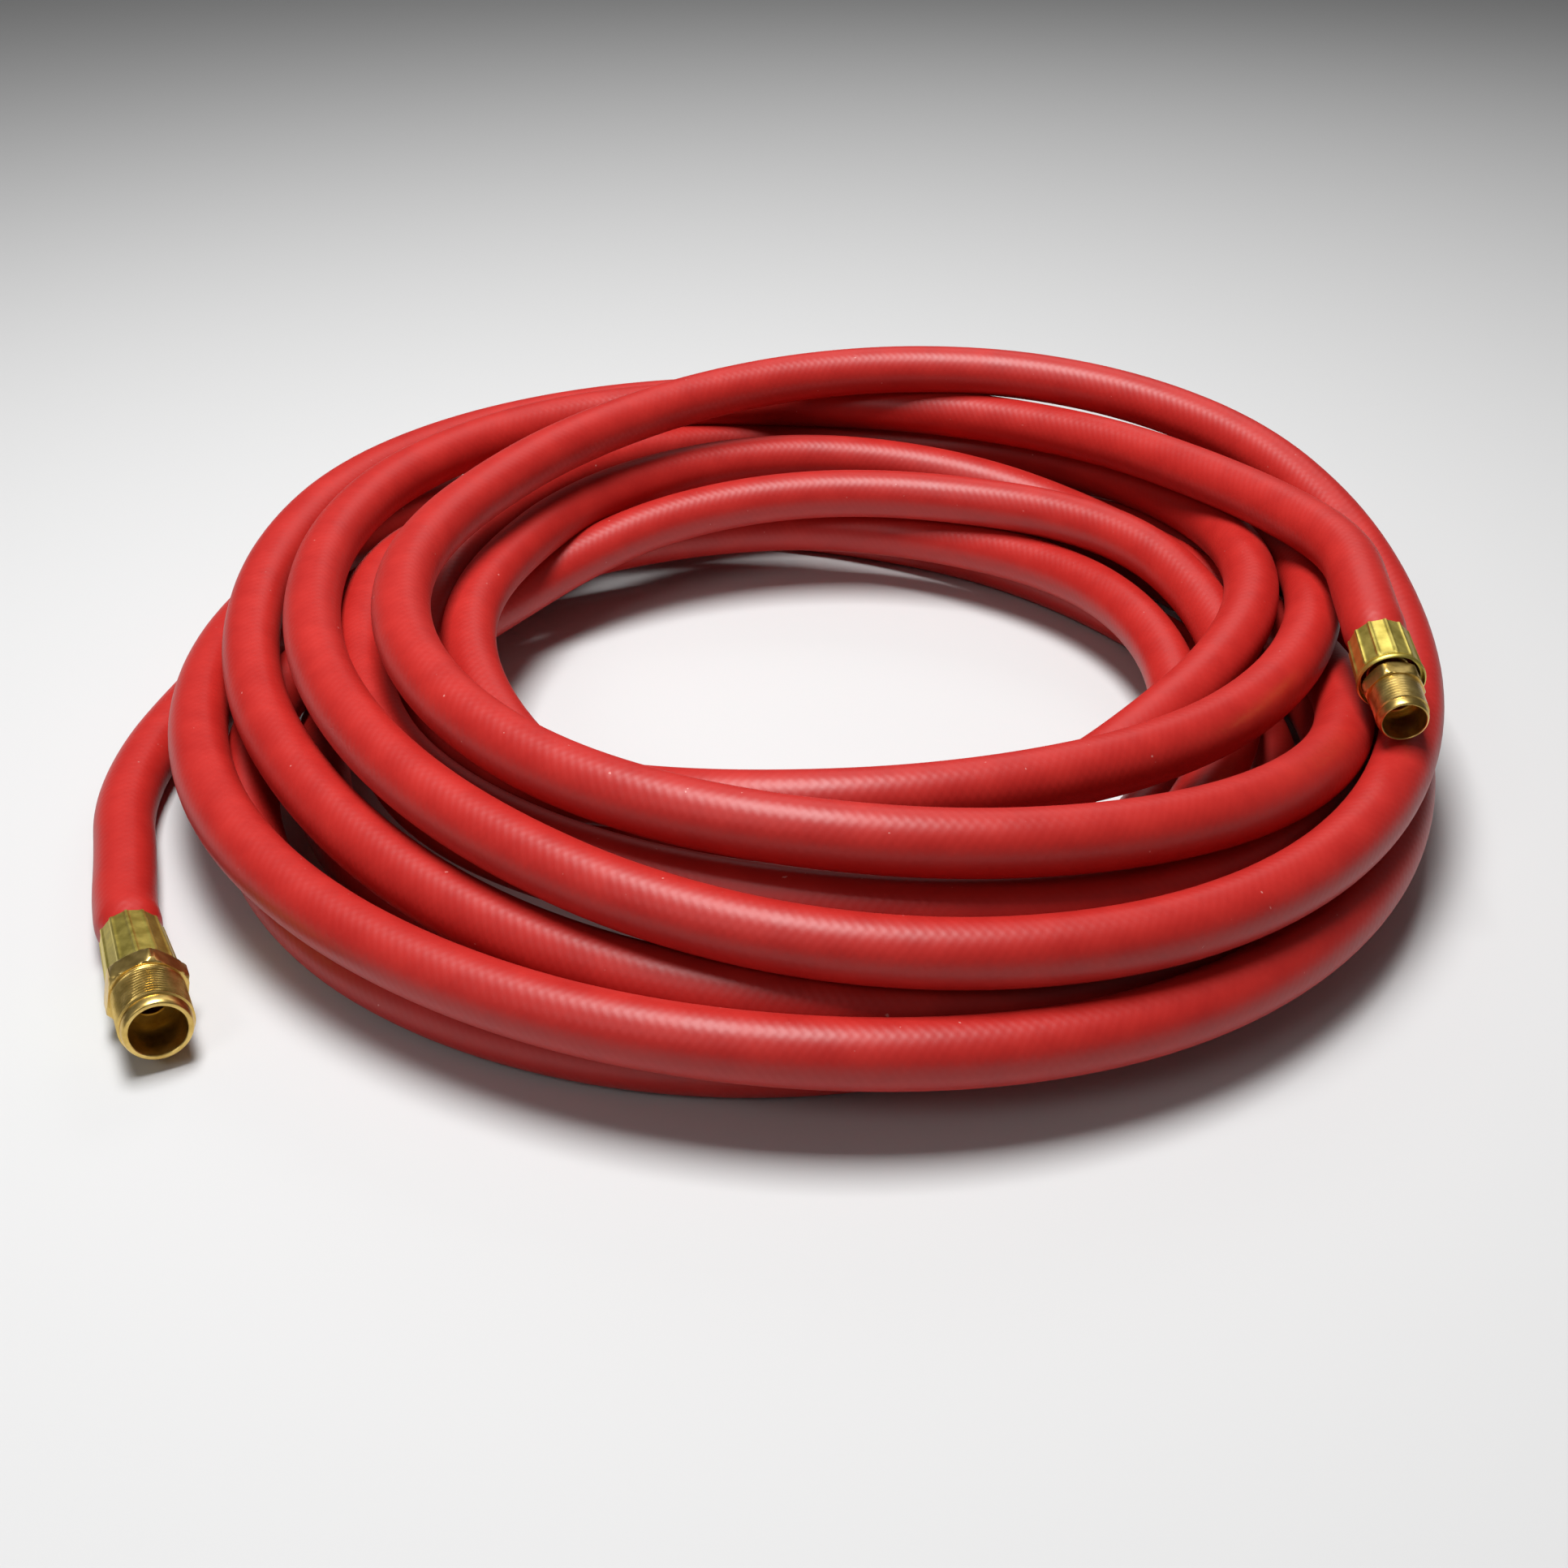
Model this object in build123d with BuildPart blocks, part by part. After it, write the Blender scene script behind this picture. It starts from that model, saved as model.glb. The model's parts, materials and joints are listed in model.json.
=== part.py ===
"""Rubber fire hose lying in a loose coil, with a crimped brass coupling on each end.

Millimetres, +Z up, the hose lying on z = 0. Seen from above the hose runs clockwise, from the
inlet coupling at the front left, round the coil from the bottom to the top, to the outlet coupling
at the right. Compass directions are used for the turns: north is +Y, east is +X.
"""

import os
from math import cos, pi, radians, sin, tan

from build123d import *

os.makedirs("parts", exist_ok=True)

# ---------------------------------------------------------------- hose
bore_diameter = 16.0
liner_wall = 1.2
braid_wall = 0.8
cover_wall = 1.5

bore_radius = bore_diameter / 2
liner_radius = bore_radius + liner_wall
braid_radius = liner_radius + braid_wall
cover_radius = braid_radius + cover_wall
hose_diameter = 2 * cover_radius

# ---------------------------------------------------------------- coil
coil_centre_x = 13.64
coil_centre_y = -7.0
stations_per_turn = 12
points_per_turn = 2 * stations_per_turn
first_azimuth = 270.0

# One row for each turn, one value every 30 degrees from west, clockwise.
turn_radii = [
    [268, 258, 238, 200, 185, 182, 196, 202, 212, 224, 232, 236],
    [219, 182, 169, 165, 163, 163, 160, 159, 162, 168, 172, 176],
    [174, 155, 149, 152, 164, 181, 183, 178, 185, 195, 202, 203],
    [204, 213, 224, 240, 237, 227, 221, 222, 213, 195, 182, 180],
    [184, 205, 202, 202, 213, 229, 243, 250, 252, 246, 241, 245],
    [250, 254, 256, 260, 257, 250, 241, 233, 229, 224, 215, 215],
    [231, 252, 256, 252, 254, 243, 214, 184, 162, 156, 157, 158],
    [157, 176, 205, 226, 232, 220, 187, 155, 144, 143, 139, 136],
    [140, 150, 174, 191, 197, 205, 219, 222, 211, 192, 177, 167],
    [160, 158, 176, 203, 230, 246, 246, 246, 241, 222, 201, 194],
    [203, 222, 229, 224, 216, 213],
]
# The same stations' heights, in hose diameters: 0.5 lies on the floor, 1.5 on one turn.
turn_heights = [
    [0.5, 0.5, 0.5, 0.5, 0.5, 0.5, 0.5, 0.5, 0.5, 0.5, 0.5, 0.7],
    [1.35, 1.2, 1.15, 1.2, 1.25, 1.4, 1.2, 0.75, 1.0, 1.45, 1.5, 1.3],
    [1.15, 1.3, 1.9, 2.2, 2.25, 2.3, 1.7, 1.3, 0.8, 0.5, 0.5, 0.5],
    [0.5, 0.5, 1.45, 1.1, 0.5, 0.5, 0.75, 1.5, 2.1, 2.38, 2.3, 2.25],
    [2.4, 2.1, 1.5, 1.5, 1.4, 1.5, 1.5, 1.2, 1.25, 1.5, 1.55, 1.65],
    [1.65, 1.55, 1.45, 1.75, 1.15, 0.7, 0.5, 0.55, 1.25, 1.55, 1.75, 2.1],
    [2.4, 2.8, 2.85, 2.75, 2.45, 2.4, 2.75, 2.8, 2.95, 3.0, 2.65, 1.95],
    [1.8, 2.35, 2.5, 2.1, 2.3, 2.5, 2.75, 2.4, 1.85, 1.6, 1.65, 2.1],
    [2.4, 2.4, 2.4, 2.4, 2.1, 1.55, 1.75, 2.5, 3.2, 3.5, 3.55, 3.7],
    [3.75, 3.75, 3.8, 4.05, 4.15, 3.8, 2.8, 2.25, 2.35, 2.55, 2.8, 2.95],
    [3.05, 3.2, 3.2, 3.1, 3.25, 3.5],
]
# Flat sides wrap the stacked turns at each station, with room for the stretch that lies on them.
envelope_sides = 12
lying_clearance = 0.3

# ---------------------------------------------------------------- couplings
shank_wall = 2.0
shank_groove_depth = 0.5
shank_barbs = 4
crimp_flats = 12

# Each coupling starts where the hose goes into its ferrule. The inlet's lies on the floor and tilts up
# a little, because its hexagon is thicker than the hose. The outlet's lies on the coil and tilts down.
inlet_start = (-241.6, -157.5)
inlet_heading = 154.5
inlet_pitch = 3.4
inlet_lead = 20.0
inlet_ferrule_length = 33.0
inlet_ferrule_wall = 0.9
inlet_ferrule_squeeze = 1.15
inlet_ferrule_flare = 1.25
inlet_hex_stand = 0.5
inlet_hex_length = 8.5
inlet_hex_turn = 15.0
inlet_thread_diameter = 25.2
inlet_thread_length = 17.7
inlet_rim_length = 4.5
inlet_rim_bevel = 1.6
inlet_mouth_wall = 3.0
inlet_mouth_depth = 20.0

outlet_start = (219.5, -65.0, 82.4)
outlet_heading = 183.0
outlet_pitch = -9.0
outlet_lead = 30.0
outlet_ferrule_length = 25.0
outlet_ferrule_wall = 0.9
outlet_ferrule_squeeze = 0.7
outlet_ferrule_flare = 0.8
outlet_hex_stand = 0.5
outlet_hex_length = 6.5
outlet_hex_turn = 0.0
outlet_thread_diameter = 19.0
outlet_thread_length = 12.5
outlet_rim_length = 4.0
outlet_rim_bevel = 1.2
outlet_mouth_wall = 1.7
outlet_mouth_depth = 14.0
outlet_way_on = 100.0

# ---------------------------------------------------------------- free stretches of the hose
# Points from the coil's centre: between the inlet coupling and the coil's first turn, on the floor.
inlet_tail_points = [(-260, -106), (-271, -74), (-274, -36)]
# Azimuth, radius and height of the last stretch, which lies on the top of the coil at its east side.
outlet_tail_points = [(75, 220, 84), (88, 227, 87)]


def placed(x, y, z):
    """A point given from the coil's centre, in the part's frame."""
    return Vector(coil_centre_x + x, coil_centre_y + y, z)


def on_turn(azimuth, radius, height):
    """A point at a compass azimuth and a radius from the coil's centre."""
    angle = radians(azimuth)
    return placed(radius * sin(angle), radius * cos(angle), height)


def with_middles(values):
    """The values with a smooth middle value put in between each two."""
    last = len(values) - 1
    filled = [values[0]]
    for i in range(last):
        before = values[max(i - 1, 0)]
        after = values[min(i + 2, last)]
        middle = (9 * (values[i] + values[i + 1]) - before - after) / 16
        filled += [middle, values[i + 1]]
    return filled


def coupling_plane(start, heading, pitch):
    """A plane at the hose's end of a coupling, its normal along the coupling towards its mouth."""
    heading = radians(heading)
    pitch = radians(pitch)
    along = Vector(sin(heading) * cos(pitch), cos(heading) * cos(pitch), sin(pitch))
    level = Vector(cos(heading), -sin(heading), 0)
    return Plane(origin=placed(*start), x_dir=level, z_dir=along)


def profile_plane(base):
    """The plane through a coupling's axis: x runs along the axis, y away from it."""
    return Plane(origin=base.origin, x_dir=base.z_dir, z_dir=base.x_dir)


# Turn by turn, the stations and their middles as points of the hose's centre line.
all_radii = with_middles([radius for row in turn_radii for radius in row])
all_heights = with_middles([height for row in turn_heights for height in row])
all_heights = [max(height, 0.5) * hose_diameter for height in all_heights]
point_step = 360.0 / points_per_turn
# A smooth line runs a little inside its points, so they stand that much further out.
stand_out = 1 / (0.75 + 0.25 * cos(radians(point_step)))


def station_point(i):
    return on_turn(first_azimuth + point_step * i, all_radii[i] * stand_out, all_heights[i])


def envelope_corners(station):
    """Corners, as radius and height, of the flat-sided outline round the turns at one station."""
    strands = []
    for i in range(len(all_radii)):
        if i % points_per_turn == station and i > 0:
            strands.append((all_radii[i], all_heights[i]))
    turn = 2 * pi / envelope_sides
    reach = []
    for side in range(envelope_sides + 1):
        angle = turn * side
        reach.append(max(r * cos(angle) + z * sin(angle) for r, z in strands) + cover_radius)
    corners = []
    for side in range(envelope_sides):
        here = turn * side
        there = here + turn
        radius = (reach[side] * sin(there) - reach[side + 1] * sin(here)) / sin(turn)
        height = (reach[side + 1] * cos(here) - reach[side] * cos(there)) / sin(turn)
        corners.append((radius, height))
    return corners


def bend_radii(points):
    """The largest arc at each corner of a route: 0.45 of its shorter run over tan(half the turn)."""
    radii = []
    for before, corner, after in zip(points, points[1:], points[2:]):
        run_in = corner - before
        run_out = after - corner
        half_turn = radians(run_in.get_angle(run_out)) / 2
        radii.append(0.45 * min(run_in.length, run_out.length) / tan(half_turn))
    return radii


def cut_route(route, run):
    """Both parts, each with its bend radii, of a route cut in the straight middle of one run."""
    radii = bend_radii(route)
    cut = (route[run] + route[run + 1]) * 0.5
    return (route[: run + 1] + [cut], radii[:run]), ([cut] + route[run + 1 :], radii[run:])


# ---------------------------------------------------------------- routes
inlet_height = cover_radius + inlet_lead * sin(radians(inlet_pitch))
inlet_base = coupling_plane((*inlet_start, inlet_height), inlet_heading, inlet_pitch)
outlet_base = coupling_plane(outlet_start, outlet_heading, outlet_pitch)

inlet_route = [inlet_base.origin, inlet_base.origin - inlet_base.z_dir * inlet_lead]
inlet_route += [placed(*point, cover_radius) for point in inlet_tail_points]
inlet_route += [station_point(0), station_point(1), station_point(2)]
inlet_tail, inlet_stub = cut_route(inlet_route, len(inlet_tail_points) + 1)

last_station = len(all_radii) - 1
outlet_route = [station_point(last_station - 1), station_point(last_station)]
outlet_route += [on_turn(*point) for point in outlet_tail_points]
outlet_route += [outlet_base.origin - outlet_base.z_dir * outlet_lead, outlet_base.origin]
outlet_stub, outlet_tail = cut_route(outlet_route, len(outlet_tail_points) + 1)

for name, (points, radii) in (("inlet tail", inlet_tail), ("outlet tail", outlet_tail)):
    runs = [(after - before).length for before, after in zip(points, points[1:])]
    print(name, "radii", [round(radius) for radius in radii], "runs", [round(run) for run in runs])

# ---------------------------------------------------------------- coil
with BuildPart() as hose_coil:
    for half in range(2):
        for step in range(points_per_turn // 2 + 1):
            station = (half * points_per_turn // 2 + step) % points_per_turn
            azimuth = radians(first_azimuth + point_step * station)
            outward = Vector(sin(azimuth), cos(azimuth), 0)
            forward = Vector(cos(azimuth), -sin(azimuth), 0)
            with BuildSketch(Plane(origin=placed(0, 0, 0), x_dir=outward, z_dir=forward)):
                with BuildLine():
                    Polyline(*envelope_corners(station), close=True)
                make_face()
        loft(ruled=True)
    # The outlet's stretch lies free in a trough along the top, and its coupling over the next turn.
    for points, radii in (inlet_tail, outlet_tail):
        with BuildLine() as free_line:
            FilletPolyline(*points, radius=radii)
        with BuildSketch(Plane(origin=free_line.line @ 0, z_dir=free_line.line % 0)):
            Circle(cover_radius + lying_clearance)
        sweep(mode=Mode.SUBTRACT)
    # It runs on past the coupling, so that a nozzle or valve can come straight on to its thread.
    outlet_reach = outlet_ferrule_length + outlet_hex_length + outlet_thread_length + outlet_rim_length
    with BuildSketch(outlet_base.offset(-lying_clearance)):
        Circle(cover_radius + outlet_ferrule_flare + lying_clearance)
    extrude(amount=outlet_reach + outlet_way_on, mode=Mode.SUBTRACT)
    for points, radii in (inlet_stub, outlet_stub):
        with BuildLine() as stub_line:
            FilletPolyline(*points, radius=radii)
        with BuildSketch(Plane(origin=stub_line.line @ 0, z_dir=stub_line.line % 0)):
            Circle(cover_radius)
        sweep()
hose_coil.part.label = "hose_coil"
export_step(hose_coil.part, "parts/hose_coil.step")


# ---------------------------------------------------------------- hose tails
def tail_layer(points, radii, base, outer, inner, ferrule_length, squeeze):
    """One layer of a free stretch, and its straight end gripped inside the ferrule."""
    with BuildPart() as layer:
        with BuildLine() as line:
            FilletPolyline(*points, radius=radii)
        with BuildSketch(Plane(origin=line.line @ 0, z_dir=line.line % 0)):
            Circle(outer)
            Circle(inner, mode=Mode.SUBTRACT)
        sweep()
        with BuildSketch(profile_plane(base)):
            with BuildLine():
                Polyline(
                    (0, inner),
                    (ferrule_length, inner),
                    (ferrule_length, outer),
                    (0, outer - squeeze),
                    close=True,
                )
            make_face()
        revolve(axis=Axis(base.origin, base.z_dir))
    return layer.part


layers = {
    "cover": (cover_radius, braid_radius),
    "braid": (braid_radius, liner_radius),
    "liner": (liner_radius, bore_radius),
}
tails = {
    "inlet": (inlet_tail, inlet_base, inlet_ferrule_length, inlet_ferrule_squeeze),
    "outlet": (outlet_tail, outlet_base, outlet_ferrule_length, outlet_ferrule_squeeze),
}
for end, ((points, radii), base, gripped_length, squeeze) in tails.items():
    for layer_name, (outer, inner) in layers.items():
        layer_squeeze = squeeze if layer_name == "cover" else 0
        tail = tail_layer(points, radii, base, outer, inner, gripped_length, layer_squeeze)
        tail.label = f"{end}_hose_{layer_name}"
        export_step(tail, f"parts/{tail.label}.step")


# ---------------------------------------------------------------- ferrules
def ferrule(base, length, wall, squeeze, flare):
    """A sleeve crimped round the hose in lengthwise flats, open at the hose, turned in at the stem."""
    flat_share = cos(pi / crimp_flats)
    near_corner = (cover_radius - squeeze + wall) / flat_share
    far_corner = cover_radius + flare
    with BuildPart() as sleeve:
        with BuildSketch(base):
            RegularPolygon(near_corner, crimp_flats)
        with BuildSketch(base.offset(length)):
            RegularPolygon(far_corner, crimp_flats)
        loft(ruled=True)
        with BuildSketch(profile_plane(base)):
            with BuildLine():
                Polyline(
                    (0, 0),
                    (length, 0),
                    (length, cover_radius),
                    (0, cover_radius - squeeze),
                    close=True,
                )
            make_face()
        revolve(axis=Axis(base.origin, base.z_dir), mode=Mode.SUBTRACT)
    return sleeve.part


# ---------------------------------------------------------------- stems
def stem(
    base, shank, hex_stand, hex_length, hex_turn, thread, thread_length, rim, bevel, mouth_wall, mouth_depth
):
    """A stem with a barbed shank in the hose, a hexagon, a thread at its full diameter and a rim."""
    hex_flats = thread + 2 * hex_stand
    hex_end = shank + hex_length
    thread_end = hex_end + thread_length
    mouth_end = thread_end + rim
    barb_pitch = shank / shank_barbs
    hex_corner = hex_flats / 2 / cos(pi / 6)
    corner_cut = (hex_corner - hex_flats / 2) * 0.7
    with BuildPart() as body:
        with BuildSketch(base.offset(shank)):
            RegularPolygon(hex_corner, 6, rotation=hex_turn)
        extrude(amount=hex_length)
        with BuildSketch(profile_plane(base)):
            with BuildLine():
                Polyline(
                    (shank, 0),
                    (shank, hex_corner - corner_cut),
                    (shank + corner_cut * 0.6, hex_corner),
                    (hex_end - corner_cut * 0.6, hex_corner),
                    (hex_end, hex_corner - corner_cut),
                    (hex_end, 0),
                    close=True,
                )
            make_face()
        revolve(axis=Axis(base.origin, base.z_dir), mode=Mode.INTERSECT)
        with BuildSketch(profile_plane(base)):
            with BuildLine():
                Polyline(
                    (hex_end, 0),
                    (hex_end, thread / 2),
                    (thread_end, thread / 2),
                    (thread_end, thread / 2 - bevel / 2),
                    (mouth_end - bevel, thread / 2 - bevel / 2),
                    (mouth_end, thread / 2 - bevel),
                    (mouth_end, 0),
                    close=True,
                )
            make_face()
        revolve(axis=Axis(base.origin, base.z_dir))
        for barb in range(shank_barbs):
            start = barb * barb_pitch
            with BuildSketch(profile_plane(base)):
                with BuildLine():
                    Polyline(
                        (start, 0),
                        (start, bore_radius - shank_groove_depth),
                        (start + barb_pitch * 0.8, bore_radius),
                        (start + barb_pitch, bore_radius),
                        (start + barb_pitch, 0),
                        close=True,
                    )
                make_face()
            revolve(axis=Axis(base.origin, base.z_dir))
        with BuildSketch(base):
            Circle(bore_radius - shank_wall)
        extrude(amount=mouth_end, mode=Mode.SUBTRACT)
        with BuildSketch(base.offset(mouth_end)):
            Circle(thread / 2 - mouth_wall)
        extrude(amount=-mouth_depth, mode=Mode.SUBTRACT)
    return body.part


inlet_ferrule = ferrule(
    inlet_base, inlet_ferrule_length, inlet_ferrule_wall, inlet_ferrule_squeeze, inlet_ferrule_flare
)
inlet_ferrule.label = "inlet_ferrule"
export_step(inlet_ferrule, "parts/inlet_ferrule.step")

inlet_stem = stem(
    inlet_base,
    inlet_ferrule_length,
    inlet_hex_stand,
    inlet_hex_length,
    inlet_hex_turn,
    inlet_thread_diameter,
    inlet_thread_length,
    inlet_rim_length,
    inlet_rim_bevel,
    inlet_mouth_wall,
    inlet_mouth_depth,
)
inlet_stem.label = "inlet_stem"
export_step(inlet_stem, "parts/inlet_stem.step")

outlet_ferrule = ferrule(
    outlet_base, outlet_ferrule_length, outlet_ferrule_wall, outlet_ferrule_squeeze, outlet_ferrule_flare
)
outlet_ferrule.label = "outlet_ferrule"
export_step(outlet_ferrule, "parts/outlet_ferrule.step")

outlet_stem = stem(
    outlet_base,
    outlet_ferrule_length,
    outlet_hex_stand,
    outlet_hex_length,
    outlet_hex_turn,
    outlet_thread_diameter,
    outlet_thread_length,
    outlet_rim_length,
    outlet_rim_bevel,
    outlet_mouth_wall,
    outlet_mouth_depth,
)
outlet_stem.label = "outlet_stem"
export_step(outlet_stem, "parts/outlet_stem.step")
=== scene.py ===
import json
from math import cos, pi, radians, sin

import bpy
import numpy as np
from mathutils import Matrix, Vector


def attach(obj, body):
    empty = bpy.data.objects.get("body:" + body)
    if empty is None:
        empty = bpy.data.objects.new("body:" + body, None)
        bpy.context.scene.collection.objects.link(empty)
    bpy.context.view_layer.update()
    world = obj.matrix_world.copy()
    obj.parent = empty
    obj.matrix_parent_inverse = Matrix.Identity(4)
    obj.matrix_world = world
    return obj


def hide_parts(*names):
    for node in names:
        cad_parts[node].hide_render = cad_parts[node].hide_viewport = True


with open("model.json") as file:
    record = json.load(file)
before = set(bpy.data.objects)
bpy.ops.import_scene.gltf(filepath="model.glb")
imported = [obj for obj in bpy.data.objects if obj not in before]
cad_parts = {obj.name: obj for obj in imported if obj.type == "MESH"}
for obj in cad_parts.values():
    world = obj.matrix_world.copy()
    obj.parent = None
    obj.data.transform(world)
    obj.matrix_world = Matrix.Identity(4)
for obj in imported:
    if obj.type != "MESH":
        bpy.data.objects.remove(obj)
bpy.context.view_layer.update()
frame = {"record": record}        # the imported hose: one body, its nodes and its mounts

MM = 0.001
BODY = "root"

# ---------------------------------------------------------------- sizes, the same as the solids'
HOSE_DIAMETER = 23.0 * MM
HOSE_RADIUS = HOSE_DIAMETER / 2
COIL_CENTRE = Vector((13.64, -7.0, 0)) * MM
STATIONS_PER_TURN = 12
POINTS_PER_TURN = 2 * STATIONS_PER_TURN
FIRST_AZIMUTH = 270.0

# One row for each turn, one value in millimetres every 30 degrees from west, clockwise.
TURN_RADII = [
    [268, 258, 238, 200, 185, 182, 196, 202, 212, 224, 232, 236],
    [219, 182, 169, 165, 163, 163, 160, 159, 162, 168, 172, 176],
    [174, 155, 149, 152, 164, 181, 183, 178, 185, 195, 202, 203],
    [204, 213, 224, 240, 237, 227, 221, 222, 213, 195, 182, 180],
    [184, 205, 202, 202, 213, 229, 243, 250, 252, 246, 241, 245],
    [250, 254, 256, 260, 257, 250, 241, 233, 229, 224, 215, 215],
    [231, 252, 256, 252, 254, 243, 214, 184, 162, 156, 157, 158],
    [157, 176, 205, 226, 232, 220, 187, 155, 144, 143, 139, 136],
    [140, 150, 174, 191, 197, 205, 219, 222, 211, 192, 177, 167],
    [160, 158, 176, 203, 230, 246, 246, 246, 241, 222, 201, 194],
    [203, 222, 229, 224, 216, 213],
]
# The same stations' heights, in hose diameters: 0.5 lies on the floor, 1.5 on one turn.
TURN_HEIGHTS = [
    [0.5, 0.5, 0.5, 0.5, 0.5, 0.5, 0.5, 0.5, 0.5, 0.5, 0.5, 0.7],
    [1.35, 1.2, 1.15, 1.2, 1.25, 1.4, 1.2, 0.75, 1.0, 1.45, 1.5, 1.3],
    [1.15, 1.3, 1.9, 2.2, 2.25, 2.3, 1.7, 1.3, 0.8, 0.5, 0.5, 0.5],
    [0.5, 0.5, 1.45, 1.1, 0.5, 0.5, 0.75, 1.5, 2.1, 2.38, 2.3, 2.25],
    [2.4, 2.1, 1.5, 1.5, 1.4, 1.5, 1.5, 1.2, 1.25, 1.5, 1.55, 1.65],
    [1.65, 1.55, 1.45, 1.75, 1.15, 0.7, 0.5, 0.55, 1.25, 1.55, 1.75, 2.1],
    [2.4, 2.8, 2.85, 2.75, 2.45, 2.4, 2.75, 2.8, 2.95, 3.0, 2.65, 1.95],
    [1.8, 2.35, 2.5, 2.1, 2.3, 2.5, 2.75, 2.4, 1.85, 1.6, 1.65, 2.1],
    [2.4, 2.4, 2.4, 2.4, 2.1, 1.55, 1.75, 2.5, 3.2, 3.5, 3.55, 3.7],
    [3.75, 3.75, 3.8, 4.05, 4.15, 3.8, 2.8, 2.25, 2.35, 2.55, 2.8, 2.95],
    [3.05, 3.2, 3.2, 3.1, 3.25, 3.5],
]
INLET_TAIL_POINTS = [(-260, -106), (-271, -74), (-274, -36)]
OUTLET_TAIL_POINTS = [(75, 220, 84), (88, 227, 87)]

# Each coupling, from the hose's end of its ferrule: lengths along it and what the design gives it.
INLET = {
    "mount": "inlet_thread",
    "lead": 20.0 * MM,
    "ferrule": 33.0 * MM,
    "hexagon": 8.5 * MM,
    "hex_flats": 26.2 * MM,
    "hex_turn": 15.0,
    "thread_radius": 12.6 * MM,
    "thread": 17.7 * MM,
    "rim": 4.5 * MM,
    "bevel": 1.6 * MM,
    "mouth_radius": 9.6 * MM,
    "mouth_depth": 20.0 * MM,
    "near_radius": 11.25 * MM,
    "far_radius": 12.75 * MM,
    "squeezed": 10.2 * MM,
    "thread_depth": 0.9 * MM,
    "end_ring": False,
}
OUTLET = {
    "mount": "outlet_thread",
    "lead": 30.0 * MM,
    "ferrule": 25.0 * MM,
    "hexagon": 6.5 * MM,
    "hex_flats": 20.0 * MM,
    "hex_turn": 0.0,
    "thread_radius": 9.5 * MM,
    "thread": 12.5 * MM,
    "rim": 4.0 * MM,
    "bevel": 1.2 * MM,
    "mouth_radius": 7.8 * MM,
    "mouth_depth": 14.0 * MM,
    "near_radius": 11.7 * MM,
    "far_radius": 12.3 * MM,
    "squeezed": 10.65 * MM,
    "thread_depth": 0.05 * MM,
    "end_ring": True,
}
THREAD_PITCH = 1.5 * MM
WATERWAY_RADIUS = 6.0 * MM
CRIMP_FLATS = 12
SHANK_BARBS = 4
SHANK_RADIUS = 7.5 * MM
BARB_RADIUS = 7.95 * MM
# How far the hose runs on inside each ferrule.
GRIPPED = 14 * MM
PRESS_DEPTH = 0.4 * MM


# ---------------------------------------------------------------- camera
def make_camera():
    """The camera stands in front of the coil and looks 32 degrees down at it."""
    data = bpy.data.cameras.new("camera")
    data.sensor_width = 36.0
    data.lens = 41.0
    camera = bpy.data.objects.new("camera", data)
    camera.location = COIL_CENTRE + Vector((-7.5, -670.8, 400.2)) * MM
    camera.rotation_euler = (radians(90 - 32.2), 0, 0)
    bpy.context.collection.objects.link(camera)
    bpy.context.scene.camera = camera


# ---------------------------------------------------------------- the hose's route
def on_turn(azimuth, radius, height):
    angle = radians(azimuth)
    return COIL_CENTRE + Vector((radius * sin(angle), radius * cos(angle), height))


def with_middles(values):
    """The values with a smooth middle value put in between each two."""
    last = len(values) - 1
    filled = [values[0]]
    for i in range(last):
        before = values[max(i - 1, 0)]
        after = values[min(i + 2, last)]
        middle = (9 * (values[i] + values[i + 1]) - before - after) / 16
        filled += [middle, values[i + 1]]
    return filled


def coupling_base(spec):
    """Where the hose goes into a coupling, and the direction to its mouth, from the thread's mount."""
    mount = next(m for m in frame["record"]["mounts"] if m["name"] == spec["mount"])
    along = Vector(mount["axis"]).normalized()
    back = spec["ferrule"] + spec["hexagon"] + spec["thread"] / 2
    return Vector(mount["pos_m"]) - along * back, along


def route_points():
    """The route's points: the inlet's stretch, the turns, a loop over the tables, and the outlet's."""
    start, along = coupling_base(INLET)
    points = [start + along * GRIPPED, start, start - along * INLET["lead"]]
    for x, y in INLET_TAIL_POINTS:
        points.append(COIL_CENTRE + Vector((x * MM, y * MM, HOSE_RADIUS)))
    radii = with_middles([radius for row in TURN_RADII for radius in row])
    heights = with_middles([height for row in TURN_HEIGHTS for height in row])
    step = 360.0 / POINTS_PER_TURN
    stand_out = 1 / (0.75 + 0.25 * cos(radians(step)))
    for i, (radius, height) in enumerate(zip(radii, heights)):
        height = max(height, 0.5) * HOSE_DIAMETER
        points.append(on_turn(FIRST_AZIMUTH + step * i, radius * stand_out * MM, height))
    for azimuth, radius, height in OUTLET_TAIL_POINTS:
        points.append(on_turn(azimuth, radius * MM, height * MM))
    end, along = coupling_base(OUTLET)
    points += [end - along * OUTLET["lead"], end, end + along * GRIPPED]
    return points


def centre_line(points, pieces_per_point=8):
    """Points read from the smooth curve that has the route's points as its control points."""
    curve = bpy.data.curves.new("route", "CURVE")
    curve.dimensions = "3D"
    curve.resolution_u = pieces_per_point
    spline = curve.splines.new("NURBS")
    spline.points.add(len(points) - 1)
    for knot, point in zip(spline.points, points):
        knot.co = (*point, 1)
    spline.order_u = 3
    spline.use_endpoint_u = True
    holder = bpy.data.objects.new("route", curve)
    mesh = bpy.data.meshes.new_from_object(holder)
    line = np.array([vertex.co[:] for vertex in mesh.vertices])
    bpy.data.objects.remove(holder)
    bpy.data.curves.remove(curve)
    bpy.data.meshes.remove(mesh)
    keep = np.r_[True, np.linalg.norm(np.diff(line, axis=0), axis=1) > 1e-7]
    return line[keep]


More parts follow.
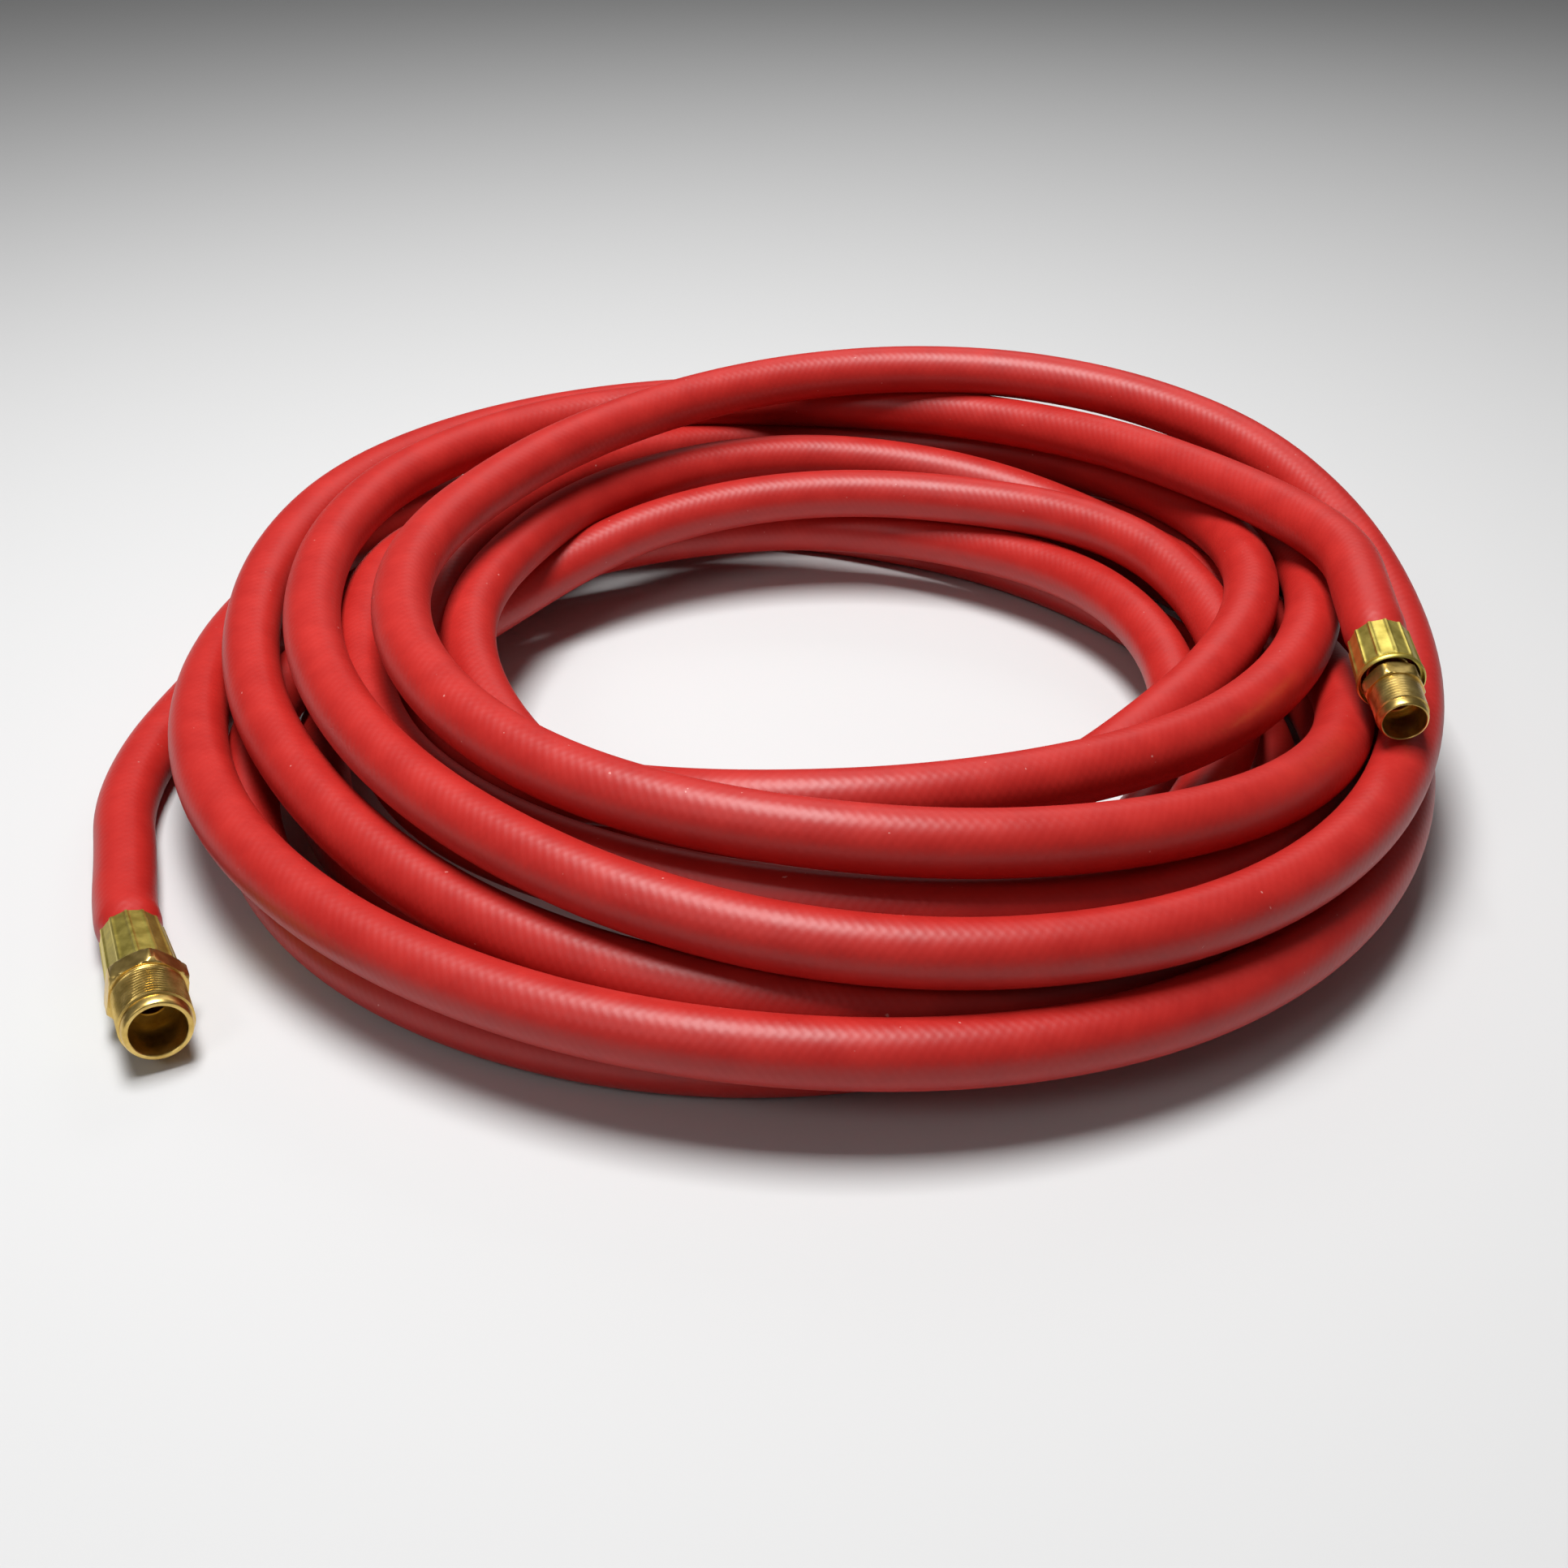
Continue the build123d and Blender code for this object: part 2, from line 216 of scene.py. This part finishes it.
# ---------------------------------------------------------------- meshes
def make_object(name, vertices, faces, material, sharp=None):
    mesh = bpy.data.meshes.new(name)
    mesh.from_pydata([tuple(v) for v in vertices], [], faces)
    mesh.validate()
    mesh.shade_smooth()
    if sharp is not None:
        mesh.set_sharp_from_angle(angle=radians(sharp))
    mesh.materials.append(material)
    piece = bpy.data.objects.new(name, mesh)
    bpy.context.collection.objects.link(piece)
    return piece


def ring_faces(rings, sides, closed):
    """Quads between consecutive rings of equal point count; closed joins the last ring to the first."""
    faces = []
    spans = rings if closed else rings - 1
    for i in range(spans):
        here = i * sides
        there = ((i + 1) % rings) * sides
        for j in range(sides):
            k = (j + 1) % sides
            faces.append((here + j, here + k, there + k, there + j))
    return faces


def make_hose(line, material, sides=44):
    """The hose as one tube along its centre line, necked down where the ferrules grip it."""
    steps = np.diff(line, axis=0)
    lengths = np.linalg.norm(steps, axis=1)
    along = np.r_[0, np.cumsum(lengths)]
    tangents = np.gradient(line, along, axis=0)
    tangents /= np.linalg.norm(tangents, axis=1)[:, None]
    across = np.empty_like(line)
    side = np.cross(tangents[0], (0, 0, 1.0))
    for i, tangent in enumerate(tangents):
        side = side - tangent * side.dot(tangent)
        side /= np.linalg.norm(side)
        across[i] = side
    above = np.cross(across, tangents)
    radius = np.full(len(line), HOSE_RADIUS)
    for spec, distance in ((INLET, along - GRIPPED), (OUTLET, along[-1] - GRIPPED - along)):
        share = np.clip(distance / (6 * MM), 0, 1)
        share = share * share * (3 - 2 * share)
        bulge = 0.25 * MM * np.exp(-(((distance - 9 * MM) / (5 * MM)) ** 2))
        near = spec["squeezed"] + (HOSE_RADIUS - spec["squeezed"]) * share + bulge
        radius = np.where(distance < 40 * MM, near, radius)
    angles = 2 * pi * np.arange(sides) / sides
    rings = (
        line[:, None]
        + radius[:, None, None]
        * (across[:, None] * np.cos(angles)[None, :, None] + above[:, None] * np.sin(angles)[None, :, None])
    )
    count = len(line)
    faces = [face[::-1] for face in ring_faces(count, sides, closed=False)]
    faces.append(tuple(range(sides)))
    faces.append(tuple(reversed(range((count - 1) * sides, count * sides))))
    hose = make_object("hose", rings.reshape(-1, 3), faces, material)
    mesh = hose.data
    layer = mesh.uv_layers.new(name="hose_map")
    corner_vertex = np.empty(len(mesh.loops), int)
    mesh.loops.foreach_get("vertex_index", corner_vertex)
    turn = (corner_vertex % sides) / sides
    # A face across the seam has corners at both 0 and nearly 1, and its 0 becomes 1.
    low = np.array([min(turn[p.loop_start : p.loop_start + 4]) for p in mesh.polygons])
    high = np.array([max(turn[p.loop_start : p.loop_start + 4]) for p in mesh.polygons])
    crossing = np.repeat((low == 0) & (high > 0.9), [len(p.vertices) for p in mesh.polygons])
    turn = np.where(crossing & (turn == 0), 1.0, turn)
    values = np.column_stack([turn, along[corner_vertex // sides]])
    layer.data.foreach_set("uv", values.astype(np.float32).ravel())
    return hose


def turned(name, base, along, profile, material, sides=96, sharp=30):
    """A closed turned body: profile holds (distance along, radius or function of angle) in order."""
    axis = along.normalized()
    level = Vector((0, 0, 1)).cross(axis).normalized()
    up = axis.cross(level)
    vertices = []
    for distance, radius in profile:
        for j in range(sides):
            angle = 2 * pi * j / sides
            r = radius(angle) if callable(radius) else radius
            vertices.append(base + axis * distance + (level * cos(angle) + up * sin(angle)) * r)
    faces = ring_faces(len(profile), sides, closed=True)
    return make_object(name, vertices, faces, material, sharp)


def hexagon(flats, degrees):
    """Radius of a hexagon's side at an angle; turned by no degrees, one flat faces down."""
    def at(angle):
        turn = ((angle - radians(degrees)) % (pi / 3)) - pi / 6
        return flats / 2 / cos(turn)
    return at


def cut_by(shape, radius):
    return lambda angle: min(shape(angle), radius)


def make_stem(name, spec, material):
    """Barbed shank, hexagon, helical thread, bevelled rim and stepped bore, as one closed body."""
    base, along = coupling_base(spec)
    shank = spec["ferrule"]
    hex_end = shank + spec["hexagon"]
    thread_end = hex_end + spec["thread"]
    mouth_end = thread_end + spec["rim"]
    outer = spec["thread_radius"]
    corner = spec["hex_flats"] / 2 / cos(pi / 6)
    side = hexagon(spec["hex_flats"], spec["hex_turn"])
    chamfer = corner - spec["hex_flats"] / 2
    profile = [(0, WATERWAY_RADIUS), (0, SHANK_RADIUS)]
    for barb in range(SHANK_BARBS):
        start = shank * barb / SHANK_BARBS
        profile += [
            (start + 0.1 * MM, SHANK_RADIUS),
            (start + shank / 5, BARB_RADIUS),
            (start + shank / SHANK_BARBS, BARB_RADIUS),
        ]
    profile += [
        (shank, cut_by(side, corner - chamfer * 0.9)),
        (shank + 0.3 * MM, cut_by(side, corner - chamfer * 0.6)),
        (shank + 1.3 * MM, cut_by(side, corner - 0.25 * MM)),
        (hex_end - 1.3 * MM, cut_by(side, corner - 0.25 * MM)),
        (hex_end - 0.3 * MM, cut_by(side, corner - chamfer * 0.6)),
        (hex_end, cut_by(side, corner - chamfer * 0.9)),
    ]
    steps_per_turn = 8
    count = int(spec["thread"] / THREAD_PITCH * steps_per_turn)

    def ridge(distance):
        def at(angle):
            phase = ((distance - hex_end) / THREAD_PITCH - angle / (2 * pi)) % 1.0
            slope = abs(2 * phase - 1)
            shape = min(max((slope - 0.12) / 0.76, 0), 1)
            run_in = min((distance - hex_end) / (1.6 * THREAD_PITCH), 1)
            run_out = min((thread_end - distance) / (0.8 * THREAD_PITCH), 1)
            return outer - spec["thread_depth"] * shape * max(min(run_in, run_out), 0)
        return at

    for i in range(count + 1):
        distance = hex_end + spec["thread"] * i / count
        profile.append((distance + 1e-6, ridge(distance)))
    plain = outer - spec["bevel"] / 2
    mouth = spec["mouth_radius"]
    lip = outer - spec["bevel"]
    profile += [
        (thread_end + 0.3 * MM, plain),
        (mouth_end - spec["bevel"], plain),
        (mouth_end - 0.35 * MM, lip + 0.3 * MM),
        (mouth_end - 0.1 * MM, lip + 0.05 * MM),
        (mouth_end, lip - 0.2 * MM),
        (mouth_end, mouth + 0.25 * MM),
        (mouth_end - 0.25 * MM, mouth),
        (mouth_end - spec["mouth_depth"], mouth),
        (mouth_end - spec["mouth_depth"], WATERWAY_RADIUS + 0.4 * MM),
        (mouth_end - spec["mouth_depth"] - 0.4 * MM, WATERWAY_RADIUS),
    ]
    stem = turned(name, base, along, profile, material)
    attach(stem, BODY)
    return stem


def make_ferrule(name, spec, material):
    """A sleeve pressed in lengthwise flats, with low ridges left between the jaws."""
    base, along = coupling_base(spec)
    length = spec["ferrule"]
    jaw = 2 * pi / CRIMP_FLATS

    def outline(distance):
        mean = spec["near_radius"] + (spec["far_radius"] - spec["near_radius"]) * distance / length
        fade = min(1, (length - distance) / (1.6 * MM))
        if spec["end_ring"]:
            fade = min(1, max(0, (length - 2.6 * MM - distance) / (1.2 * MM)))

        def at(angle):
            turn = (angle % jaw) / jaw - 0.5
            pressed = mean - PRESS_DEPTH * fade
            flat = pressed * cos(jaw * 0.38) / cos(turn * jaw)
            share = min(max((abs(turn) - 0.36) / 0.06, 0), 1)
            return flat * fade * (1 - share) + mean * (1 - fade * (1 - share))
        return at

    lip = 0.35 * MM
    inner = spec["squeezed"] - 0.15 * MM
    profile = [(length, 8.2 * MM), (1.0 * MM, 8.2 * MM), (0.2 * MM, inner - 0.4 * MM)]
    profile += [(0, inner + 0.15 * MM)]
    profile += [(0, lambda a: outline(0)(a) - lip), (0.12 * MM, lambda a: outline(0.1 * MM)(a) - lip * 0.35)]
    steps = 22
    for i in range(steps + 1):
        distance = lip + (length - 2 * lip) * i / steps
        profile.append((distance, outline(distance)))
    if spec["end_ring"]:
        ring_start = length - 2.5 * MM
        profile = [point for point in profile if point[0] < ring_start]
        bead = 1.25 * MM
        for i in range(11):
            turn = pi * (i / 10 - 0.15)
            radius = spec["far_radius"] - bead * 0.75 + bead * sin(turn)
            profile.append((length - bead - bead * cos(turn), radius))
    else:
        profile.append((length, lambda a: outline(length)(a) - lip))
    sleeve = turned(name, base, along, profile[::-1], material, sides=CRIMP_FLATS * 16, sharp=25)
    sleeve.data.flip_normals()
    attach(sleeve, BODY)
    return sleeve


# ---------------------------------------------------------------- materials
def new_material(name):
    material = bpy.data.materials.new(name)
    material.use_nodes = True
    nodes = material.node_tree.nodes
    nodes.clear()
    output = nodes.new("ShaderNodeOutputMaterial")
    shader = nodes.new("ShaderNodeBsdfPrincipled")
    material.node_tree.links.new(shader.outputs[0], output.inputs[0])
    return material, nodes, material.node_tree.links, shader


def math_node(nodes, links, operation, first, second=None, third=None):
    node = nodes.new("ShaderNodeMath")
    node.operation = operation
    for socket, value in zip(node.inputs, (first, second, third)):
        if value is None:
            continue
        if isinstance(value, (int, float)):
            socket.default_value = value
        else:
            links.new(value, socket)
    return node.outputs[0]


def ramp_node(nodes, links, source, stops):
    node = nodes.new("ShaderNodeValToRGB")
    elements = node.color_ramp.elements
    while len(elements) < len(stops):
        elements.new(0.5)
    for element, (position, colour) in zip(elements, stops):
        element.position = position
        element.color = (*colour, 1) if len(colour) == 3 else colour
    links.new(source, node.inputs[0])
    return node.outputs[0]


def noise_node(nodes, links, vector, scale, detail=3.0, rough=0.5):
    node = nodes.new("ShaderNodeTexNoise")
    node.inputs["Scale"].default_value = scale
    node.inputs["Detail"].default_value = detail
    node.inputs["Roughness"].default_value = rough
    links.new(vector, node.inputs["Vector"])
    return node.outputs["Fac"]


def mix_colours(nodes, links, share, first, second):
    node = nodes.new("ShaderNodeMix")
    node.data_type = "RGBA"
    for socket, value in ((node.inputs[0], share), (node.inputs[6], first), (node.inputs[7], second)):
        if isinstance(value, tuple):
            socket.default_value = (*value, 1)
        elif isinstance(value, (int, float)):
            socket.default_value = value
        else:
            links.new(value, socket)
    return node.outputs[2]


def red_rubber():
    """Satin red rubber. The textile braid under the cover shows as faint crossed ribs."""
    material, nodes, links, shader = new_material("red_rubber")
    where = nodes.new("ShaderNodeUVMap")
    where.uv_map = "hose_map"
    parts = nodes.new("ShaderNodeSeparateXYZ")
    links.new(where.outputs[0], parts.inputs[0])
    strands = 14
    pitch = 3.6 * MM
    around = math_node(nodes, links, "MULTIPLY", parts.outputs[0], 2 * pi * strands)
    length = math_node(nodes, links, "MULTIPLY", parts.outputs[1], 2 * pi / pitch)
    right = math_node(nodes, links, "COSINE", math_node(nodes, links, "ADD", around, length))
    left = math_node(nodes, links, "COSINE", math_node(nodes, links, "SUBTRACT", around, length))
    braid = math_node(nodes, links, "ADD", math_node(nodes, links, "MULTIPLY", right, 0.6),
                      math_node(nodes, links, "MULTIPLY", left, 0.4))
    place = nodes.new("ShaderNodeTexCoord").outputs["Object"]
    patches = noise_node(nodes, links, place, 14.0, 2.0)
    grain = noise_node(nodes, links, place, 900.0, 3.0, 0.6)
    mottle = noise_node(nodes, links, place, 60.0, 4.0, 0.6)
    strength = math_node(nodes, links, "MULTIPLY_ADD", patches, 0.9, 0.55)
    relief = math_node(nodes, links, "MULTIPLY", braid, strength)
    relief = math_node(nodes, links, "MULTIPLY_ADD", grain, 0.5, relief)
    bump = nodes.new("ShaderNodeBump")
    bump.inputs["Strength"].default_value = 1.0
    bump.inputs["Distance"].default_value = 0.024 * MM
    links.new(relief, bump.inputs["Height"])
    links.new(bump.outputs[0], shader.inputs["Normal"])
    base = ramp_node(nodes, links, mottle, [(0.3, (0.40, 0.013, 0.010)), (0.7, (0.47, 0.018, 0.013))])
    specks = noise_node(nodes, links, place, 420.0, 1.0)
    speck_share = ramp_node(nodes, links, specks, [(0.795, (0, 0, 0)), (0.83, (1, 1, 1))])
    dust = math_node(nodes, links, "MULTIPLY", speck_share, 0.45)
    colour = mix_colours(nodes, links, dust, base, (0.78, 0.42, 0.38))
    links.new(colour, shader.inputs["Base Color"])
    rough = math_node(nodes, links, "MULTIPLY_ADD", mottle, 0.14, 0.37)
    links.new(rough, shader.inputs["Roughness"])
    shader.inputs["Specular IOR Level"].default_value = 0.42
    return material


def plain_brass(name, polish, dull, bright):
    """Brass with a fine grain, its colour and shine varied in patches between dull and bright."""
    material, nodes, links, shader = new_material(name)
    place = nodes.new("ShaderNodeTexCoord").outputs["Object"]
    patches = noise_node(nodes, links, place, 180.0, 4.0, 0.6)
    grain = noise_node(nodes, links, place, 700.0, 2.0, 0.5)
    colour = ramp_node(nodes, links, patches, [(0.3, dull), (0.7, bright)])
    links.new(colour, shader.inputs["Base Color"])
    shader.inputs["Metallic"].default_value = 1.0
    rough = math_node(nodes, links, "MULTIPLY_ADD", patches, 0.16, polish)
    links.new(rough, shader.inputs["Roughness"])
    bump = nodes.new("ShaderNodeBump")
    bump.inputs["Strength"].default_value = 1.0
    bump.inputs["Distance"].default_value = 0.003 * MM
    links.new(grain, bump.inputs["Height"])
    links.new(bump.outputs[0], shader.inputs["Normal"])
    return material


# ---------------------------------------------------------------- floor and light
def make_stage():
    material, nodes, links, shader = new_material("pale_floor")
    shader.inputs["Base Color"].default_value = (0.60, 0.60, 0.60, 1)
    shader.inputs["Roughness"].default_value = 0.8
    size = 6.0
    corners = [(-size, -size, 0), (size, -size, 0), (size, size, 0), (-size, size, 0)]
    floor_plane = make_object("floor", corners, [(0, 1, 2, 3)], material)
    world = bpy.data.worlds.new("studio")
    bpy.context.scene.world = world
    world.use_nodes = True
    world.node_tree.nodes["Background"].inputs[0].default_value = (1, 1, 1, 1)
    world.node_tree.nodes["Background"].inputs[1].default_value = 0.09


def make_light(name, place, target, size, power):
    data = bpy.data.lights.new(name, "AREA")
    data.shape = "RECTANGLE"
    data.size, data.size_y = size
    data.energy = power
    light = bpy.data.objects.new(name, data)
    light.location = place
    light.rotation_euler = (Vector(target) - Vector(place)).to_track_quat("-Z", "Y").to_euler()
    bpy.context.collection.objects.link(light)


# ---------------------------------------------------------------- the model
make_camera()
rubber = red_rubber()
turned_brass = plain_brass("turned_brass", 0.26, (0.55, 0.36, 0.09), (0.83, 0.60, 0.20))
pressed_brass = plain_brass("pressed_brass", 0.36, (0.56, 0.44, 0.08), (0.82, 0.68, 0.17))

line = centre_line(route_points())
hose = make_hose(line, rubber)
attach(hose, BODY)
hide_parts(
    "hose_coil",
    "inlet_hose_cover",
    "inlet_hose_braid",
    "inlet_hose_liner",
    "outlet_hose_cover",
    "outlet_hose_braid",
    "outlet_hose_liner",
)
inlet_stem = make_stem("inlet_stem_turned", INLET, turned_brass)
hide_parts("inlet_stem")
inlet_ferrule = make_ferrule("inlet_ferrule_crimped", INLET, pressed_brass)
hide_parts("inlet_ferrule")
outlet_stem = make_stem("outlet_stem_turned", OUTLET, turned_brass)
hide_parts("outlet_stem")
outlet_ferrule = make_ferrule("outlet_ferrule_crimped", OUTLET, pressed_brass)
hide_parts("outlet_ferrule")

bpy.context.scene.view_settings.view_transform = "Standard"
make_stage()
make_light("overhead", (-0.15, 0.0, 1.5), (0, 0, 0), (0.8, 0.5), 32)
make_light("front", (-0.9, -1.3, 1.4), (0, 0, 0), (0.7, 0.5), 4)
make_light("back", (0.4, 1.4, 1.2), (0, 0, 0), (1.0, 0.5), 3)
